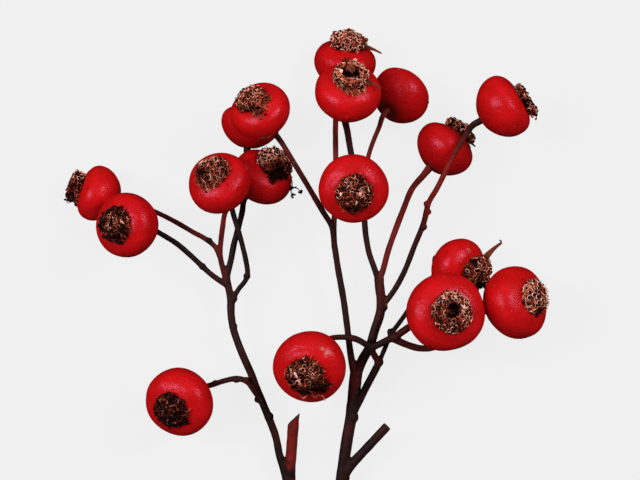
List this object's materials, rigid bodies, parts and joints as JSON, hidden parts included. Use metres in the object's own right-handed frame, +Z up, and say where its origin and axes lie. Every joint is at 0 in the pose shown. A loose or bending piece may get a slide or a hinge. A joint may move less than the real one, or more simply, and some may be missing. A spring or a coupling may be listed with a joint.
{
  "type": "rose hip sprig",
  "caption": "Cut branching rose sprig lying down, with round red hips, dried calyx crowns and stems cut short.",
  "frame": {"origin": "on the surface the sprig lies on, under the middle of its bounding box", "axes": "+Y from the cut end of the cane towards the tips, +Z up from the surface, +X to the right with the tips pointing away"},
  "size_m": [0.1436, 0.1754, 0.0432],
  "materials": {
    "bark": "dark red-brown bark, redder on the young stalks",
    "hip_skin": "smooth waxy red skin with a soft shine",
    "dried_calyx": "dry, rough brown stamens and calyx"
  },
  "bodies": {
    "root": {"stem": "bark", "hip_01": "hip_skin", "hip_02": "hip_skin", "hip_03": "hip_skin", "hip_04": "hip_skin", "hip_05": "hip_skin", "hip_06": "hip_skin", "hip_07": "hip_skin", "hip_08": "hip_skin", "hip_09": "hip_skin", "hip_10": "hip_skin", "hip_11": "hip_skin", "hip_12": "hip_skin", "hip_13": "hip_skin", "hip_14": "hip_skin", "hip_15": "hip_skin", "hip_16": "hip_skin", "hip_17": "hip_skin", "crown_01": "dried_calyx", "crown_02": "dried_calyx", "crown_03": "dried_calyx", "crown_04": "dried_calyx", "crown_05": "dried_calyx", "crown_06": "dried_calyx", "crown_07": "dried_calyx", "crown_08": "dried_calyx", "crown_09": "dried_calyx", "crown_10": "dried_calyx", "crown_11": "dried_calyx", "crown_12": "dried_calyx", "crown_13": "dried_calyx", "crown_14": "dried_calyx", "crown_15": "dried_calyx", "crown_16": "dried_calyx", "crown_17": "dried_calyx"}
  },
  "joints": []
}
